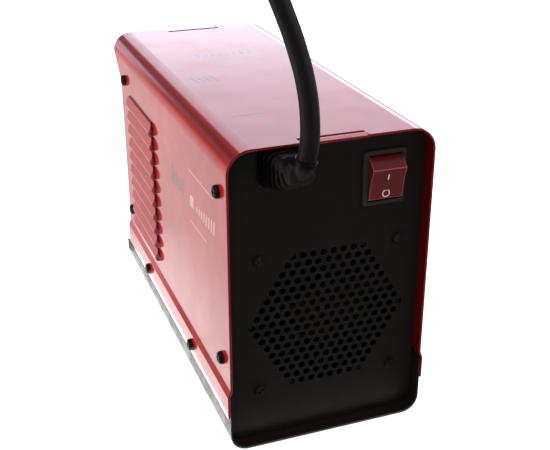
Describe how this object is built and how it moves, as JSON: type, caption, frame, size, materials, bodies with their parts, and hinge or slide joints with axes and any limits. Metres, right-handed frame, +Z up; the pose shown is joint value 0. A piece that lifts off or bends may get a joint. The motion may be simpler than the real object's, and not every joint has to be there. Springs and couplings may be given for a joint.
{
  "type": "stick welding inverter",
  "caption": "Compact stick welding inverter: louvred steel cover on a tray, fan grille, rocker mains switch and cable boot at the rear, current knob and twist-lock output sockets in front.",
  "frame": {"origin": "middle of the case's footprint, on the underside of the tray that it rests on", "axes": "+Z up; -Y is the front with the controls and output sockets; +Y is the rear with the fan grille, mains switch and mains cable; +X is the right-hand side seen from the front"},
  "size_m": [0.1268, 0.2915, 0.3182],
  "materials": {
    "red_paint": "gloss",
    "black_coat": "matte",
    "black_screw": "satin",
    "zinc": "satin",
    "steel": "satin",
    "brass": "satin",
    "copper": "satin",
    "aluminium": "satin",
    "black_plastic": "matte",
    "switch_plastic": "semi-gloss",
    "red_plastic": "gloss",
    "fascia_plastic": "satin",
    "rubber": "matte",
    "core_sheath": "satin",
    "window": "gloss",
    "lamp": "gloss",
    "board": "satin",
    "control_board": "satin",
    "package": "matte",
    "ferrite": "matte",
    "insulation": "satin",
    "capacitor": "satin",
    "relay": "satin",
    "wire": "satin",
    "magnet": "matte"
  },
  "bodies": {
    "case": {"cover_shell": "red_paint", "chassis_tray": "black_coat", "rear_panel": "black_coat", "front_panel": "black_coat", "cover_side_screws": "black_screw", "cover_base_screws": "black_screw", "panel_base_screws": "zinc", "fan_screws": "black_screw", "fan_nuts": "zinc", "fan_frame": "black_plastic", "fan_bearings": "steel", "fan_stator": "copper", "switch_housing": "switch_plastic", "switch_terminals": "brass", "cable_boot": "rubber", "boot_locknut": "black_plastic", "mains_cable": "rubber", "cable_cores": "core_sheath", "core_ferrules": "zinc", "control_fascia": "fascia_plastic", "pot_body": "zinc", "pot_nut": "zinc", "display_window": "window", "display_module": "package", "indicator_lamps": "lamp", "front_board": "board", "front_board_spacers": "brass", "front_board_screws": "zinc", "output_socket_bodies": "black_plastic", "output_socket_contacts": "brass", "output_socket_nuts": "black_plastic", "output_socket_bolts": "zinc", "positive_busbar": "copper", "negative_busbar": "copper", "main_board": "board", "board_standoffs": "brass", "board_screws": "zinc", "insulating_sheet": "insulation", "transistor_heat_sink": "aluminium", "rectifier_heat_sink": "aluminium", "transistors": "package", "rectifier_diodes": "package", "bridge_rectifier": "package", "transformer_core": "ferrite", "transformer_winding": "copper", "choke_core": "ferrite", "choke_winding": "copper", "bulk_capacitors": "capacitor", "inrush_relay": "relay", "control_board": "control_board", "earth_stud": "zinc", "earth_nuts": "zinc", "internal_wiring": "wire"},
    "rocker": {"switch_rocker": "red_plastic"},
    "fan": {"fan_rotor": "black_plastic", "fan_magnet_ring": "magnet", "fan_shaft": "steel"},
    "knob": {"current_knob": "black_plastic", "pot_shaft": "aluminium"}
  },
  "joints": [
    {"name": "rocker_press", "type": "hinge", "parent": "case", "child": "rocker", "pos_m": [-0.0327, 0.115, 0.153], "axis": [1, 0, 0], "range_deg": [0, 26]},
    {"name": "fan_spin", "type": "hinge", "parent": "case", "child": "fan", "pos_m": [-0.0015, 0.105, 0.0733], "axis": [0, 1, 0], "continuous": true},
    {"name": "knob_turn", "type": "hinge", "parent": "case", "child": "knob", "pos_m": [0, -0.122, 0.122], "axis": [0, -1, 0], "range_deg": [-150, 150]}
  ]
}
